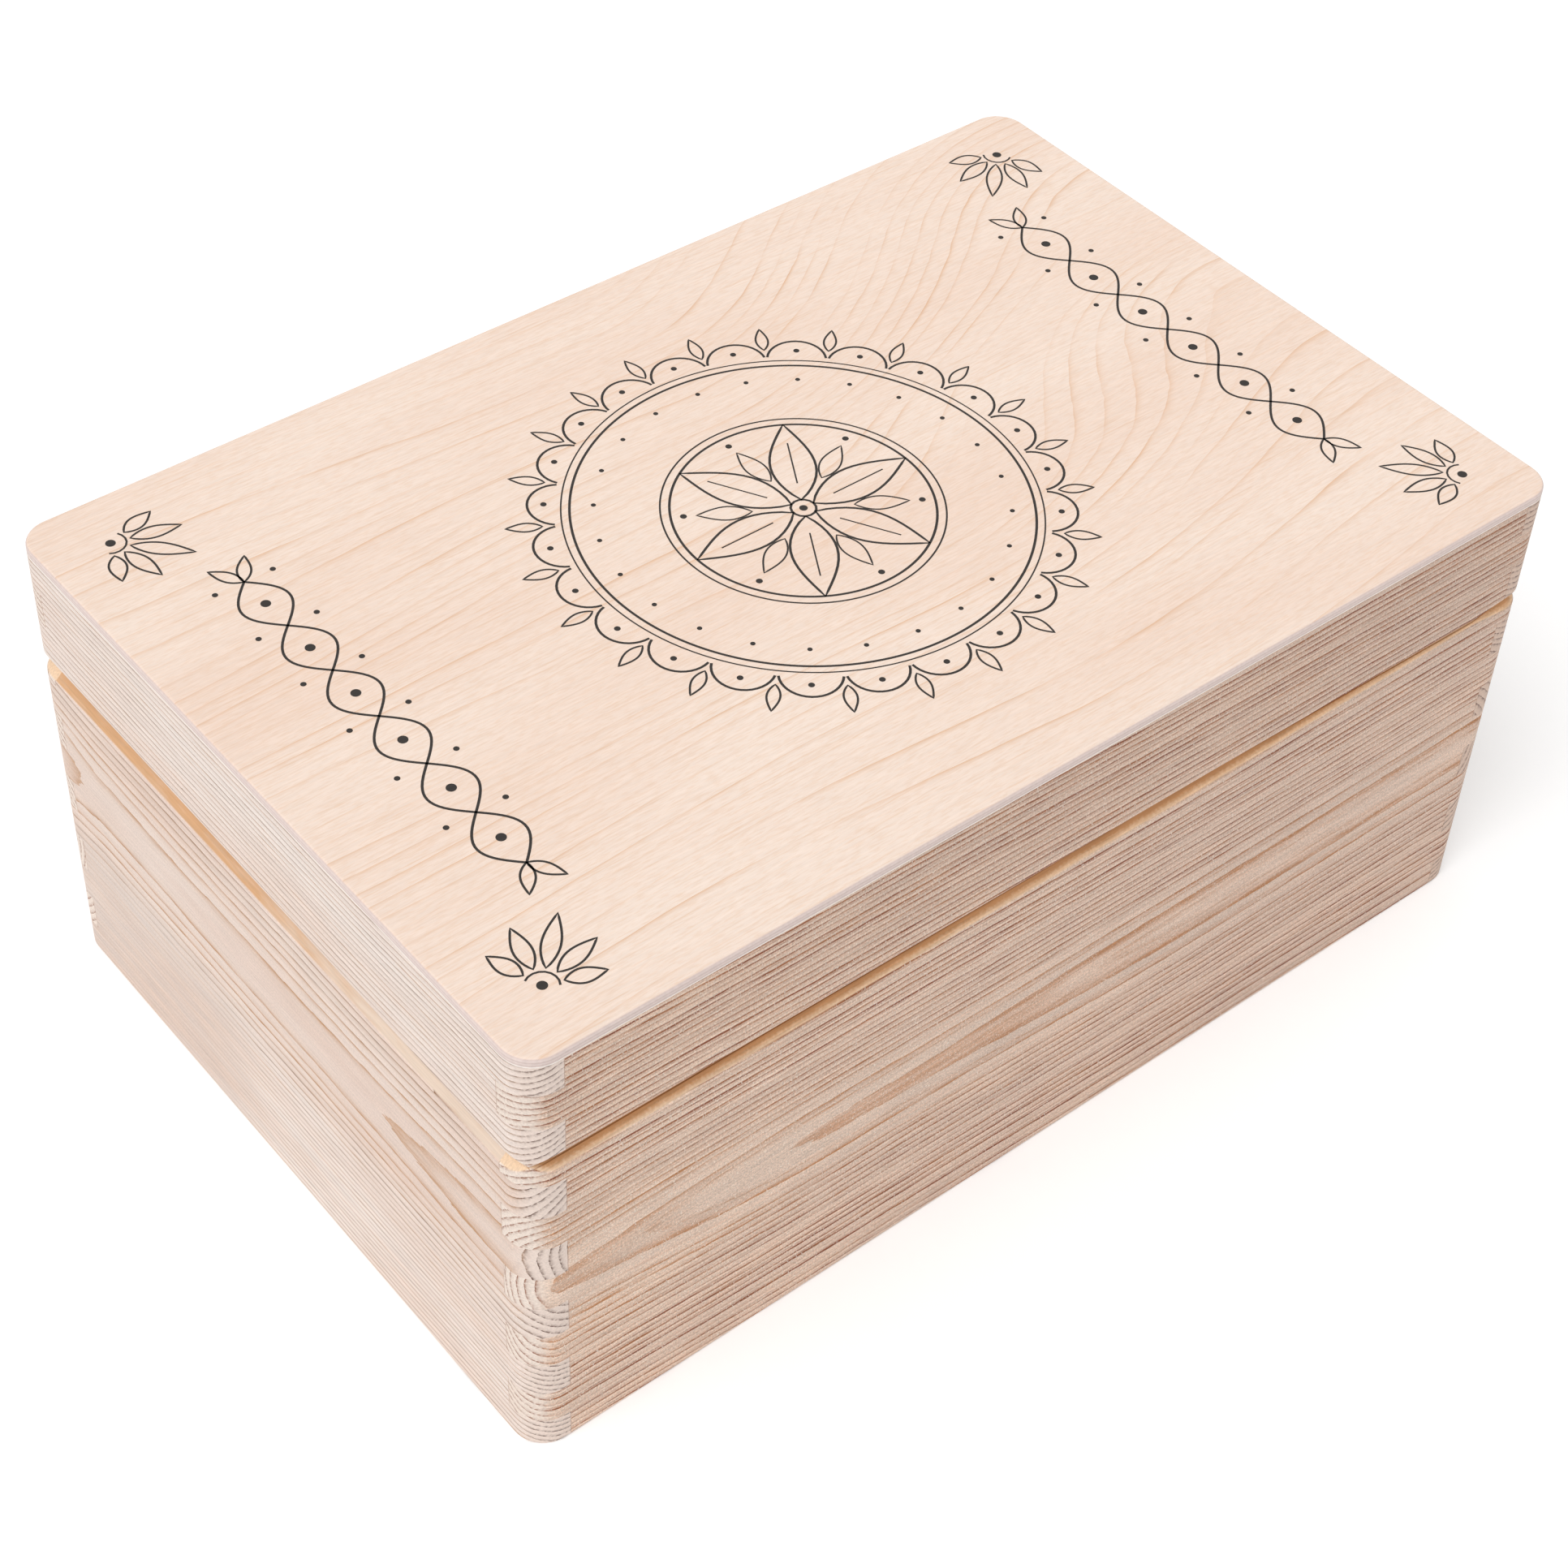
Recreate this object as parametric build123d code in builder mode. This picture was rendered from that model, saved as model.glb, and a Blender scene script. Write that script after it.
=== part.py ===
"""Finger-jointed pine keepsake box with a plywood lid panel and a hinged lid.

The box is made the way such boxes are made: four boards are finger-jointed into one
closed carcass, its corners are rounded, a V-groove is routed around the outside, and
the carcass is sawn through along that groove into a base and a lid. The saw turns a
strip of the carcass to dust, so the finger that it runs through ends up shorter.
Millimetres, +Z up, origin on the resting plane at the middle of the box. The front
faces -Y and the hinges are at +Y.
"""
from build123d import *
from math import radians, tan
import os

# Overall size of the closed box
length = 300.0            # along X
width = 198.0             # along Y
height = 132.0            # lid panel included

# Stock
board_t = 9.8             # pine boards of the carcass
lid_panel_t = 2.4         # plywood glued on top of the lid rails
bottom_panel_t = 4.0      # plywood held in a slot of the four base boards

# Outer edges
corner_r = 8.0            # rounding of the upright corners
foot_bevel = 0.5          # sanded bottom edge
lid_panel_round = 0.8     # sanded top edge of the lid panel

# Finger joints, counted from the bottom: the short boards own the first finger
first_finger = 9.0
finger_pitch = 10.4

# Saw cut between base and lid
seam_z = 98.0
seam_gap = 0.2            # between the closed lid and the base
saw_kerf = 2.5            # carcass height lost to the saw and to sanding the cut faces

# V-groove that the saw runs in. It was routed by hand, so it wanders in height and depth.
v_bit_angle = 90.0        # included angle of the router bit
cutter_overrun = 2.0      # how far a cutter stands proud of what it cuts
hinge_groove = (seam_z, 2.5)          # height of its middle and depth, at the hinges
back_left_groove = (96.9, 3.3)        # the same at the corners that it is taken round
back_right_groove = (97.4, 2.8)
front_right_groove = (98.4, 2.4)
front_groove_start = (98.8, 2.55)     # at the front left corner, where the straight passes meet
front_groove_full = (98.4, 2.4)
front_groove_full_x = 40.0
front_groove_thin = (98.5, 1.1)
front_groove_thin_x = 130.0
left_groove_start = (98.5, 2.6)
left_groove_full = (97.6, 3.0)
left_groove_full_y = -88.0
hinge_groove_x = 115.0                # the stretch beside the hinges ends this far from the middle

# Slot of the bottom panel
bottom_lift = 5.0         # underside of the panel above the resting plane
slot_depth = 4.5
slot_play = 0.3           # room at each edge of the panel, for the wood to move

# Butt hinges
hinge_spacing = 180.0     # between the middles of the two hinges
hinge_length = 30.0
hinge_inset = 2.0         # pin axis in from the back face
leaf_t = 0.9
leaf_reach = 6.3          # pin axis to the inner edge of a leaf
knuckle_count = 3
knuckle_play = 0.2        # along the pin, between knuckles
barrel_play = 0.3         # around the barrel
mortise_play = 0.15       # around a leaf in its mortise
pin_r = 0.8
pin_fixed_play = 0.02     # radial, in the knuckles that hold the pin
pin_running_play = 0.05   # radial, in the knuckles that turn on it

# Countersunk hinge screws
screw_spacing = 18.0
screw_inset = 4.1         # pin axis to the screws
screw_length = 7.0
screw_r = 0.8
screw_head_r = 1.5
screw_hole_play = 0.05    # radial, around the shank in leaf and wood
pilot_extra = 0.4         # below the end of the screw

# Sizes that follow
carcass_h = height - lid_panel_t
inner_length = length - 2 * board_t
inner_width = width - 2 * board_t
axis_y = width / 2 - hinge_inset
knuckle_r = pin_r + pin_running_play + leaf_t
knuckle_pitch = hinge_length / knuckle_count
barrel_room_r = knuckle_r + barrel_play
screw_y = axis_y - screw_inset
screw_hole_r = screw_r + screw_hole_play
hinge_middles = (-hinge_spacing / 2, hinge_spacing / 2)
screw_middles = [x + dx for x in hinge_middles for dx in (-screw_spacing / 2, screw_spacing / 2)]

# The base lies below the seam and the lid above it
BASE, LID = -1, 1


def mating_z(level):
    """Height of the sawn face of the base or the lid."""
    return seam_z + level * seam_gap / 2


def fingers(of_short_boards):
    """Lower and upper height of each finger that the short or the long boards own."""
    unsawn_h = carcass_h + saw_kerf
    levels = [0.0, first_finger]
    while levels[-1] + finger_pitch < unsawn_h:
        levels.append(levels[-1] + finger_pitch)
    levels.append(unsawn_h)
    levels = [level if level < seam_z else level - saw_kerf for level in levels]
    spans = list(zip(levels, levels[1:]))
    return spans[0::2] if of_short_boards else spans[1::2]


def knuckles(level):
    """Start and end along the barrel of each knuckle of the base's or the lid's leaf."""
    first = 0 if level == BASE else 1
    starts = [number * knuckle_pitch for number in range(first, knuckle_count, 2)]
    return [(start + knuckle_play / 2, start + knuckle_pitch - knuckle_play / 2) for start in starts]


def v_section(plane, wall, depth):
    """Cross-section of the router bit, its point at the depth behind the wall's outer face."""
    half_opening = (depth + cutter_overrun) * tan(radians(v_bit_angle / 2))
    with BuildSketch(plane) as section:
        with BuildLine():
            Polyline(
                (wall - depth, 0),
                (wall + cutter_overrun, half_opening),
                (wall + cutter_overrun, -half_opening),
                close=True,
            )
        make_face()
    return section.sketch


def side_groove(along, outward, wall, stations):
    """Groove along one side, through stations of (distance, (height, depth))."""
    with BuildPart() as groove:
        sections = []
        for distance, (z, depth) in stations:
            origin = Vector(*along) * distance + Vector(0, 0, z)
            sections.append(v_section(Plane(origin=origin, x_dir=outward, z_dir=along), wall, depth))
        loft(sections, ruled=True)
    return groove.part


def corner_groove(x_side, y_side, height_and_depth):
    """Groove taken round one rounded upright corner."""
    z, depth = height_and_depth
    centre = (x_side * x_tangent, y_side * y_tangent, z)
    start = Vector((x_side + y_side) / 2, (y_side - x_side) / 2, 0)
    with BuildPart() as groove:
        add(v_section(Plane(origin=centre, x_dir=start, z_dir=start.cross(Vector(0, 0, 1))), corner_r, depth))
        revolve(axis=Axis(centre, (0, 0, 1)), revolution_arc=90)
    return groove.part


x_end, y_end = length / 2, width / 2
x_tangent, y_tangent = x_end - corner_r, y_end - corner_r
front_groove = [
    (-x_end, front_groove_start),
    (front_groove_full_x, front_groove_full),
    (front_groove_thin_x, front_groove_thin),
    (x_tangent, front_right_groove),
]
left_groove = [
    (-y_end, left_groove_start),
    (left_groove_full_y, left_groove_full),
    (y_tangent, back_left_groove),
]
right_groove = [(-y_tangent, front_right_groove), (y_tangent, back_right_groove)]
back_groove = [
    (-x_tangent, back_left_groove),
    (-hinge_groove_x, hinge_groove),
    (hinge_groove_x, hinge_groove),
    (x_tangent, back_right_groove),
]
grooves = [
    side_groove((1, 0, 0), (0, -1, 0), y_end, front_groove),
    side_groove((1, 0, 0), (0, 1, 0), y_end, back_groove),
    side_groove((0, 1, 0), (-1, 0, 0), x_end, left_groove),
    side_groove((0, 1, 0), (1, 0, 0), x_end, right_groove),
    corner_groove(1, -1, front_right_groove),
    corner_groove(1, 1, back_right_groove),
    corner_groove(-1, 1, back_left_groove),
]

# The glued, rounded, grooved and slotted carcass, before it is sawn apart
with BuildPart() as carcass:
    with BuildSketch():
        RectangleRounded(length, width, corner_r)
    extrude(amount=carcass_h)
    chamfer(carcass.edges().group_by(Axis.Z)[0], foot_bevel)
    with BuildSketch(Plane.XY.offset(-cutter_overrun)):
        Rectangle(inner_length, inner_width)
    extrude(amount=carcass_h + 2 * cutter_overrun, mode=Mode.SUBTRACT)
    with BuildSketch(Plane.XY.offset(bottom_lift)):
        Rectangle(inner_length + 2 * slot_depth, inner_width + 2 * slot_depth)
    extrude(amount=bottom_panel_t, mode=Mode.SUBTRACT)
    add(grooves, mode=Mode.SUBTRACT)

# Where the carcass is wood of the short boards: their walls and their corner fingers
with BuildPart() as short_board_wood:
    with BuildSketch():
        with GridLocations(length - board_t, 0, 2, 1):
            Rectangle(board_t, inner_width)
    extrude(amount=carcass_h)
    for low, high in fingers(of_short_boards=True):
        with BuildSketch(Plane.XY.offset(low)):
            with GridLocations(length - board_t, width - board_t, 2, 2):
                Rectangle(board_t, board_t)
        extrude(amount=high - low)

# Where it is wood of the long boards: their walls, and the fingers in the gaps
with BuildPart() as long_board_wood:
    with BuildSketch():
        with GridLocations(0, width - board_t, 1, 2):
            Rectangle(inner_length, board_t)
    extrude(amount=carcass_h)
    for low, high in fingers(of_short_boards=False):
        with BuildSketch(Plane.XY.offset(low)):
            with GridLocations(length - board_t, width - board_t, 2, 2):
                Rectangle(board_t, board_t)
        extrude(amount=high - low)


def hinge_seats(level):
    """Mortises, square-cut barrel pockets and pilot holes in a rear mating face."""
    with BuildPart() as seats:
        for x in hinge_middles:
            with Locations((x, axis_y, mating_z(level))):
                Box(
                    hinge_length + 2 * mortise_play,
                    leaf_reach + mortise_play,
                    leaf_t,
                    align=(Align.CENTER, Align.MAX, Align.MIN if level == LID else Align.MAX),
                )
            with Locations((x, axis_y, seam_z)):
                Box(hinge_length + 2 * barrel_play, 2 * barrel_room_r, 2 * barrel_room_r)
        for x in screw_middles:
            with BuildSketch(Plane.XY.offset(mating_z(level))):
                with Locations((x, screw_y)):
                    Circle(screw_hole_r)
            extrude(amount=level * (screw_length + pilot_extra))
    return seats.part


def carcass_piece(level, wood, x_side, y_side):
    """One board of the base or one rail of the lid, on the named side of the box."""
    with BuildPart() as piece:
        add(carcass)
        add(wood, mode=Mode.INTERSECT)
        with Locations((x_side * x_end, y_side * y_end, mating_z(level))):
            Box(
                length,
                width,
                height,
                align=(Align.CENTER, Align.CENTER, Align.MIN if level == LID else Align.MAX),
                mode=Mode.INTERSECT,
            )
        if y_side > 0:
            add(hinge_seats(level), mode=Mode.SUBTRACT)
    return piece.part


def hinge_leaf(level, x_middle):
    """Steel leaf in the base or the lid, rolled around the pin at its own knuckles."""
    other = LID if level == BASE else BASE
    x_start = x_middle - hinge_length / 2
    with BuildPart() as leaf:
        with BuildSketch(Plane.YZ.offset(x_start)):
            with Locations((axis_y, mating_z(level))):
                Rectangle(leaf_reach, leaf_t, align=(Align.MAX, Align.MIN if level == LID else Align.MAX))
        extrude(amount=hinge_length)
        for start, end in knuckles(level):
            with BuildSketch(Plane.YZ.offset(x_start + start)):
                with Locations((axis_y, seam_z)):
                    Circle(knuckle_r)
            extrude(amount=end - start)
        for start, end in knuckles(other):
            with BuildSketch(Plane.YZ.offset(x_start + start - knuckle_play)):
                with Locations((axis_y, seam_z)):
                    Circle(barrel_room_r)
            extrude(amount=end - start + 2 * knuckle_play, mode=Mode.SUBTRACT)
        with BuildSketch(Plane.YZ.offset(x_start)):
            with Locations((axis_y, seam_z)):
                Circle(pin_r + (pin_fixed_play if level == BASE else pin_running_play))
        extrude(amount=hinge_length, mode=Mode.SUBTRACT)
        for dx in (-screw_spacing / 2, screw_spacing / 2):
            with Locations(Plane(origin=(x_middle + dx, screw_y, mating_z(level)), z_dir=(0, 0, -level))):
                CounterSinkHole(screw_hole_r, screw_head_r, depth=leaf_t)
    return leaf.part


def hinge_pin(x_middle):
    """Wire pin through the whole barrel."""
    with BuildPart() as pin:
        with BuildSketch(Plane.YZ.offset(x_middle - hinge_length / 2)):
            with Locations((axis_y, seam_z)):
                Circle(pin_r)
        extrude(amount=hinge_length)
    return pin.part


def hinge_screws(level):
    """The screws of both leaves in the base or the lid, heads flush with the leaves."""
    head_depth = screw_head_r - screw_r
    with BuildPart() as screws:
        for x in screw_middles:
            face_point = (x, screw_y, mating_z(level))
            with BuildSketch(Plane(origin=face_point, x_dir=(1, 0, 0), z_dir=(0, -level, 0))):
                with BuildLine():
                    Polyline(
                        (0, 0),
                        (screw_head_r, 0),
                        (screw_r, head_depth),
                        (screw_r, screw_length),
                        (0, screw_length),
                        close=True,
                    )
                make_face()
            revolve(axis=Axis(face_point, (0, 0, 1)))
    return screws.part


def save(part, label):
    """Name a finished piece and write its file."""
    part.label = label
    export_step(part, f"parts/{label}.step")


# Plywood in the slot of the base boards, with room at its edges
with BuildPart() as bottom_panel:
    with BuildSketch(Plane.XY.offset(bottom_lift)):
        Rectangle(inner_length + 2 * (slot_depth - slot_play), inner_width + 2 * (slot_depth - slot_play))
    extrude(amount=bottom_panel_t)

# Plywood glued on the lid rails and sanded flush with them
with BuildPart() as lid_panel:
    with BuildSketch(Plane.XY.offset(carcass_h)):
        RectangleRounded(length, width, corner_r)
    extrude(amount=lid_panel_t)
    fillet(lid_panel.edges().group_by(Axis.Z)[-1], lid_panel_round)

os.makedirs("parts", exist_ok=True)
save(bottom_panel.part, "bottom_panel")
save(lid_panel.part, "lid_panel")

for side, side_wood, x_side, y_side in (
    ("front", long_board_wood.part, 0, -1),
    ("back", long_board_wood.part, 0, 1),
    ("left", short_board_wood.part, -1, 0),
    ("right", short_board_wood.part, 1, 0),
):
    save(carcass_piece(BASE, side_wood, x_side, y_side), f"{side}_board")
    save(carcass_piece(LID, side_wood, x_side, y_side), f"lid_{side}_rail")

for side, x_middle in zip(("left", "right"), hinge_middles):
    save(hinge_leaf(BASE, x_middle), f"{side}_hinge_base_leaf")
    save(hinge_leaf(LID, x_middle), f"{side}_hinge_lid_leaf")
    save(hinge_pin(x_middle), f"{side}_hinge_pin")

save(hinge_screws(BASE), "base_hinge_screws")
save(hinge_screws(LID), "lid_hinge_screws")
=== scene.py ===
from math import atan2, cos, degrees, pi, radians, sin

import bmesh
import bpy
from mathutils import Matrix, Vector


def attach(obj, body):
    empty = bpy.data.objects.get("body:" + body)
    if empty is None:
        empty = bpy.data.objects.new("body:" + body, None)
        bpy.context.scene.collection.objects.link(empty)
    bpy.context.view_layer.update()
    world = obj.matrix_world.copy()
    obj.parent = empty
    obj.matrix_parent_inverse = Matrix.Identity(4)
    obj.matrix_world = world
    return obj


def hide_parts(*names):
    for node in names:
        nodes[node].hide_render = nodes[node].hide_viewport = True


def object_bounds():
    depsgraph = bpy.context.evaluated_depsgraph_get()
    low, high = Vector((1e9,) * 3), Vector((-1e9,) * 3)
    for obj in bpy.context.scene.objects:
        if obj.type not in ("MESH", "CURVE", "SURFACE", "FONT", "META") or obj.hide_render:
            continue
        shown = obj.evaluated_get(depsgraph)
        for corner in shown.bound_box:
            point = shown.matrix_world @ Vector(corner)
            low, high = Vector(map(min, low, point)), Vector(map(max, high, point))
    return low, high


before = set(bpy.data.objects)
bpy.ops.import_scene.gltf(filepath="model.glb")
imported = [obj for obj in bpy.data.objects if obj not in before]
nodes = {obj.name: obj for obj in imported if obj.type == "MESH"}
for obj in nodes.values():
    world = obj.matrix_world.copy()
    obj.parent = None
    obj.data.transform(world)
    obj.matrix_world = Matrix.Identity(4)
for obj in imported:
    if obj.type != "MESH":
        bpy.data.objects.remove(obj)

# Keepsake box of bare sanded pine with a plywood lid panel, steel hinges and a line print
# on the lid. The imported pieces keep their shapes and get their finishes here. Made here are
# the print and the hinge screws with their cross recess. Lengths in materials are in mm.

cad_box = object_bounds()
MM = 0.001

# Box sizes that the finishes refer to, mm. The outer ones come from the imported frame.
LENGTH, WIDTH, HEIGHT = (round((high - low) / MM, 1) for low, high in zip(*cad_box))
CORNER_R = 8.0
BOARD_T = 9.8
SEAM_Z = 98.0
SEAM_GAP = 0.2
GROOVE_Z = 97.6
GROOVE_REACH = 4.4
PANEL_T = 2.4
PANEL_UNDERSIDE = HEIGHT - PANEL_T


def srgb(code):
    """Linear colour of an sRGB hex value such as "#F0DCC8"."""
    channels = [int(code[start:start + 2], 16) / 255 for start in (1, 3, 5)]
    return [c / 12.92 if c <= 0.04045 else ((c + 0.055) / 1.055) ** 2.4 for c in channels] + [1.0]


def add(tree, kind, inputs=None, **settings):
    """Add a node. Its inputs are plain values, sockets, or nodes whose first output is meant."""
    node = tree.nodes.new(kind)
    for name, value in settings.items():
        setattr(node, name, value)
    for key, source in (inputs or {}).items():
        if isinstance(source, bpy.types.Node):
            source = source.outputs[0]
        if isinstance(source, bpy.types.NodeSocket):
            tree.links.new(source, node.inputs[key])
        else:
            node.inputs[key].default_value = source
    return node


def new_material(name):
    """Empty node material with its shader and output."""
    material = bpy.data.materials.new(name)
    material.use_nodes = True
    tree = material.node_tree
    tree.nodes.clear()
    shader = add(tree, "ShaderNodeBsdfPrincipled")
    add(tree, "ShaderNodeOutputMaterial", {"Surface": shader})
    return material, tree, shader


def bare_pine(
    name, along, pith, drifts, below, rings, flame_slopes, line_strength, half_ring, line_power, flame_power,
    side_share, least_line, line_in_flame, ring_tones, outward_gain, early, late, ends, fresh, fresh_run,
    deep_shade_depth, grit_share, hair_glint_share, fibre_share, plain=None, tone_and_shade_stretches=(),
):
    """Flat-sawn pine, planed and sanded but not oiled.

    Each spring the tree grows pale soft wood and each summer a thin darker line, in rings round
    the pith. A face along the grain shows them as fine parallel lines that open into flames
    where the board lies nearest the pith, and a cut end shows them as arcs. A V-groove routed
    later is fresh wood, yellower than the sanded faces. Deeper in, it is painted browner: partly
    browned where the bit rubbed, partly painted shade under the lid's overhang.

    The grain runs along X or Y. The pith is given by its place across the board and its height,
    and each drift by where it starts and ends along the grain and how far it moves the pith in
    both. Colours are pairs or threes of hex values, and shares lie between 0 and 1.
    """
    material, tree, shader = new_material(name)
    place = add(tree, "ShaderNodeTexCoord")
    point = add(
        tree, "ShaderNodeVectorMath", {0: place.outputs["Object"], 1: (1000, 1000, 1000)}, operation="MULTIPLY"
    )
    split = add(tree, "ShaderNodeSeparateXYZ", {0: point})
    run = split.outputs["X" if along == "X" else "Y"]
    side = split.outputs["Y" if along == "X" else "X"]
    height = split.outputs["Z"]

    # Where the pith runs, as it wanders along the board
    pith_side, pith_height = pith
    for start, end, side_step, height_step in drifts:
        share = add(
            tree,
            "ShaderNodeMapRange",
            {"Value": run, "From Min": start, "From Max": end},
            interpolation_type="SMOOTHSTEP",
        )
        pith_side = add(tree, "ShaderNodeMath", {0: share, 1: side_step, 2: pith_side}, operation="MULTIPLY_ADD")
        pith_height = add(
            tree, "ShaderNodeMath", {0: share, 1: height_step, 2: pith_height}, operation="MULTIPLY_ADD"
        )
    off_side = add(tree, "ShaderNodeMath", {0: side, 1: pith_side}, operation="SUBTRACT")
    off_height = add(tree, "ShaderNodeMath", {0: height, 1: pith_height}, operation="SUBTRACT")
    wide_below = add(tree, "ShaderNodeMath", {0: off_height, 1: below}, operation="MULTIPLY")
    off_height = add(tree, "ShaderNodeMath", {0: off_height, 1: wide_below}, operation="MAXIMUM")
    off = add(tree, "ShaderNodeCombineXYZ", {0: off_side, 1: off_height, 2: 0})
    radius = add(tree, "ShaderNodeVectorMath", {0: off}, operation="LENGTH").outputs["Value"]

    # Growth is never even: slow waves of about 150 mm along the grain, and small ones of 30 mm
    stretched = (1 / 6, 1, 1) if along == "X" else (1, 1 / 6, 1)
    long_point = add(tree, "ShaderNodeVectorMath", {0: point, 1: stretched}, operation="MULTIPLY")
    slow = add(tree, "ShaderNodeTexNoise", {"Vector": long_point, "Scale": 1 / 26, "Detail": 1.0})
    small = add(tree, "ShaderNodeTexNoise", {"Vector": long_point, "Scale": 1 / 5, "Detail": 4.0})
    radius = add(tree, "ShaderNodeMath", {0: slow, 1: 2.4, 2: radius}, operation="MULTIPLY_ADD")
    radius = add(tree, "ShaderNodeMath", {0: small, 1: 0.7, 2: radius}, operation="MULTIPLY_ADD")
    ragged = add(tree, "ShaderNodeTexNoise", {"Vector": long_point, "Scale": 1 / 1.1, "Detail": 3.0})
    radius = add(tree, "ShaderNodeMath", {0: ragged, 1: 0.5, 2: radius}, operation="MULTIPLY_ADD")
    radius = add(tree, "ShaderNodeMath", {0: radius, 1: 1.8}, operation="SUBTRACT")

    # Rings per mm near the pith, and how many more beyond the radius where growth slowed
    per_mm, offset, slow_from, more_per_mm = rings
    count = add(tree, "ShaderNodeMath", {0: radius, 1: per_mm, 2: offset}, operation="MULTIPLY_ADD")
    beyond = add(tree, "ShaderNodeMath", {0: radius, 1: slow_from}, operation="SUBTRACT")
    beyond = add(tree, "ShaderNodeMath", {0: beyond, 1: 0}, operation="MAXIMUM")
    count = add(tree, "ShaderNodeMath", {0: beyond, 1: more_per_mm, 2: count}, operation="MULTIPLY_ADD")

    # Dark summer line at the outer edge of each ring: broad and soft in the flames, where the
    # ring lies nearly flat in the face, and a thin line elsewhere. No two rings are equally
    # dark, they darken outward, and the sawn edges of a board show them fainter.
    ring = add(tree, "ShaderNodeMath", {0: count}, operation="FRACT")
    number = add(tree, "ShaderNodeMath", {0: count}, operation="FLOOR")
    vigour = add(tree, "ShaderNodeTexWhiteNoise", {"W": number}, noise_dimensions="1D")
    flame_start, flame_end = flame_slopes
    slope = add(tree, "ShaderNodeMath", {0: off_height}, operation="ABSOLUTE")
    slope = add(tree, "ShaderNodeMath", {0: slope, 1: radius}, operation="DIVIDE")
    sharpness = add(
        tree,
        "ShaderNodeMapRange",
        {"Value": slope, "From Min": flame_start, "From Max": flame_end, "To Min": flame_power, "To Max": line_power},
        interpolation_type="SMOOTHSTEP",
    )
    line = add(tree, "ShaderNodeMath", {0: ring, 1: sharpness}, operation="POWER")
    half = add(tree, "ShaderNodeMath", {0: count, 1: 2.0}, operation="MULTIPLY")
    half = add(tree, "ShaderNodeMath", {0: half}, operation="FRACT")
    half = add(tree, "ShaderNodeMath", {0: half, 1: 9.0}, operation="POWER")
    line = add(tree, "ShaderNodeMath", {0: half, 1: half_ring, 2: line}, operation="MULTIPLY_ADD")
    weakest, strongest = line_strength
    strength = add(tree, "ShaderNodeMapRange", {"Value": vigour, "To Min": weakest, "To Max": strongest})
    broken = add(tree, "ShaderNodeTexNoise", {"Vector": long_point, "Scale": 1 / 2.2, "Detail": 2.0})
    broken = add(
        tree,
        "ShaderNodeMapRange",
        {"Value": broken, "From Min": 0.3, "From Max": 0.6, "To Min": least_line, "To Max": 1.1},
    )
    line_face = add(tree, "ShaderNodeMath", {0: line, 1: strength}, operation="MULTIPLY")
    line_face = add(tree, "ShaderNodeMath", {0: line_face, 1: broken}, operation="MULTIPLY", use_clamp=True)
    streak_scale = (1 / 24, 1, 1) if along == "X" else (1, 1 / 24, 1)
    streak = add(tree, "ShaderNodeVectorMath", {0: point, 1: streak_scale}, operation="MULTIPLY")
    streak = add(tree, "ShaderNodeTexNoise", {"Vector": streak, "Scale": 0.9, "Detail": 3.0})
    streak = add(
        tree,
        "ShaderNodeMapRange",
        {"Value": streak, "From Min": 0.36, "From Max": 0.6, "To Min": least_line, "To Max": 1.05},
    )
    line_face = add(tree, "ShaderNodeMath", {0: line_face, 1: streak}, operation="MULTIPLY", use_clamp=True)
    in_flame = add(
        tree,
        "ShaderNodeMapRange",
        {"Value": slope, "From Min": flame_start, "From Max": flame_end, "To Min": line_in_flame, "To Max": 1},
        interpolation_type="SMOOTHSTEP",
    )
    outward = add(
        tree,
        "ShaderNodeMapRange",
        {"Value": radius, "From Min": 22, "From Max": 42, "To Min": 1, "To Max": outward_gain},
    )
    on_edge = add(tree, "ShaderNodeSeparateXYZ", {0: place.outputs["Normal"]}).outputs["Z"]
    on_edge = add(tree, "ShaderNodeMath", {0: on_edge}, operation="ABSOLUTE")
    on_edge = add(
        tree,
        "ShaderNodeMapRange",
        {"Value": on_edge, "From Min": 0.8, "From Max": 0.95, "To Min": 1, "To Max": 0.35},
    )
    line_share = add(tree, "ShaderNodeMath", {0: in_flame, 1: outward}, operation="MULTIPLY")
    line_share = add(tree, "ShaderNodeMath", {0: line_share, 1: on_edge}, operation="MULTIPLY")
    line_face = add(tree, "ShaderNodeMath", {0: line_face, 1: line_share}, operation="MULTIPLY", use_clamp=True)
    line_end = add(tree, "ShaderNodeMath", {0: ring, 1: 4.0}, operation="POWER")
    pores = add(tree, "ShaderNodeTexNoise", {"Vector": point, "Scale": 1.3, "Detail": 1.0})
    pores = add(
        tree,
        "ShaderNodeMapRange",
        {"Value": pores, "From Min": 0.36, "From Max": 0.58, "To Min": 0.3, "To Max": 1.15},
    )
    line_end = add(tree, "ShaderNodeMath", {0: line_end, 1: pores}, operation="MULTIPLY", use_clamp=True)

    # Part of the board where the lines almost vanish under the sander: where it starts and is
    # full along the grain, the same in height, and the share of the lines that stays
    if plain:
        run_start, run_full, height_start, height_full, stays = plain
        plain_run = add(
            tree,
            "ShaderNodeMapRange",
            {"Value": run, "From Min": run_start, "From Max": run_full},
            interpolation_type="SMOOTHSTEP",
        )
        plain_height = add(
            tree,
            "ShaderNodeMapRange",
            {"Value": height, "From Min": height_start, "From Max": height_full},
            interpolation_type="SMOOTHSTEP",
        )
        share = add(tree, "ShaderNodeMath", {0: plain_run, 1: plain_height}, operation="MULTIPLY")
        kept = add(tree, "ShaderNodeMapRange", {"Value": share, "To Min": 1, "To Max": stays})
        line_face = add(tree, "ShaderNodeMath", {0: line_face, 1: kept}, operation="MULTIPLY")
        line_face = add(tree, "ShaderNodeMath", {0: share, 1: 0.2, 2: line_face}, operation="MULTIPLY_ADD")

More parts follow.
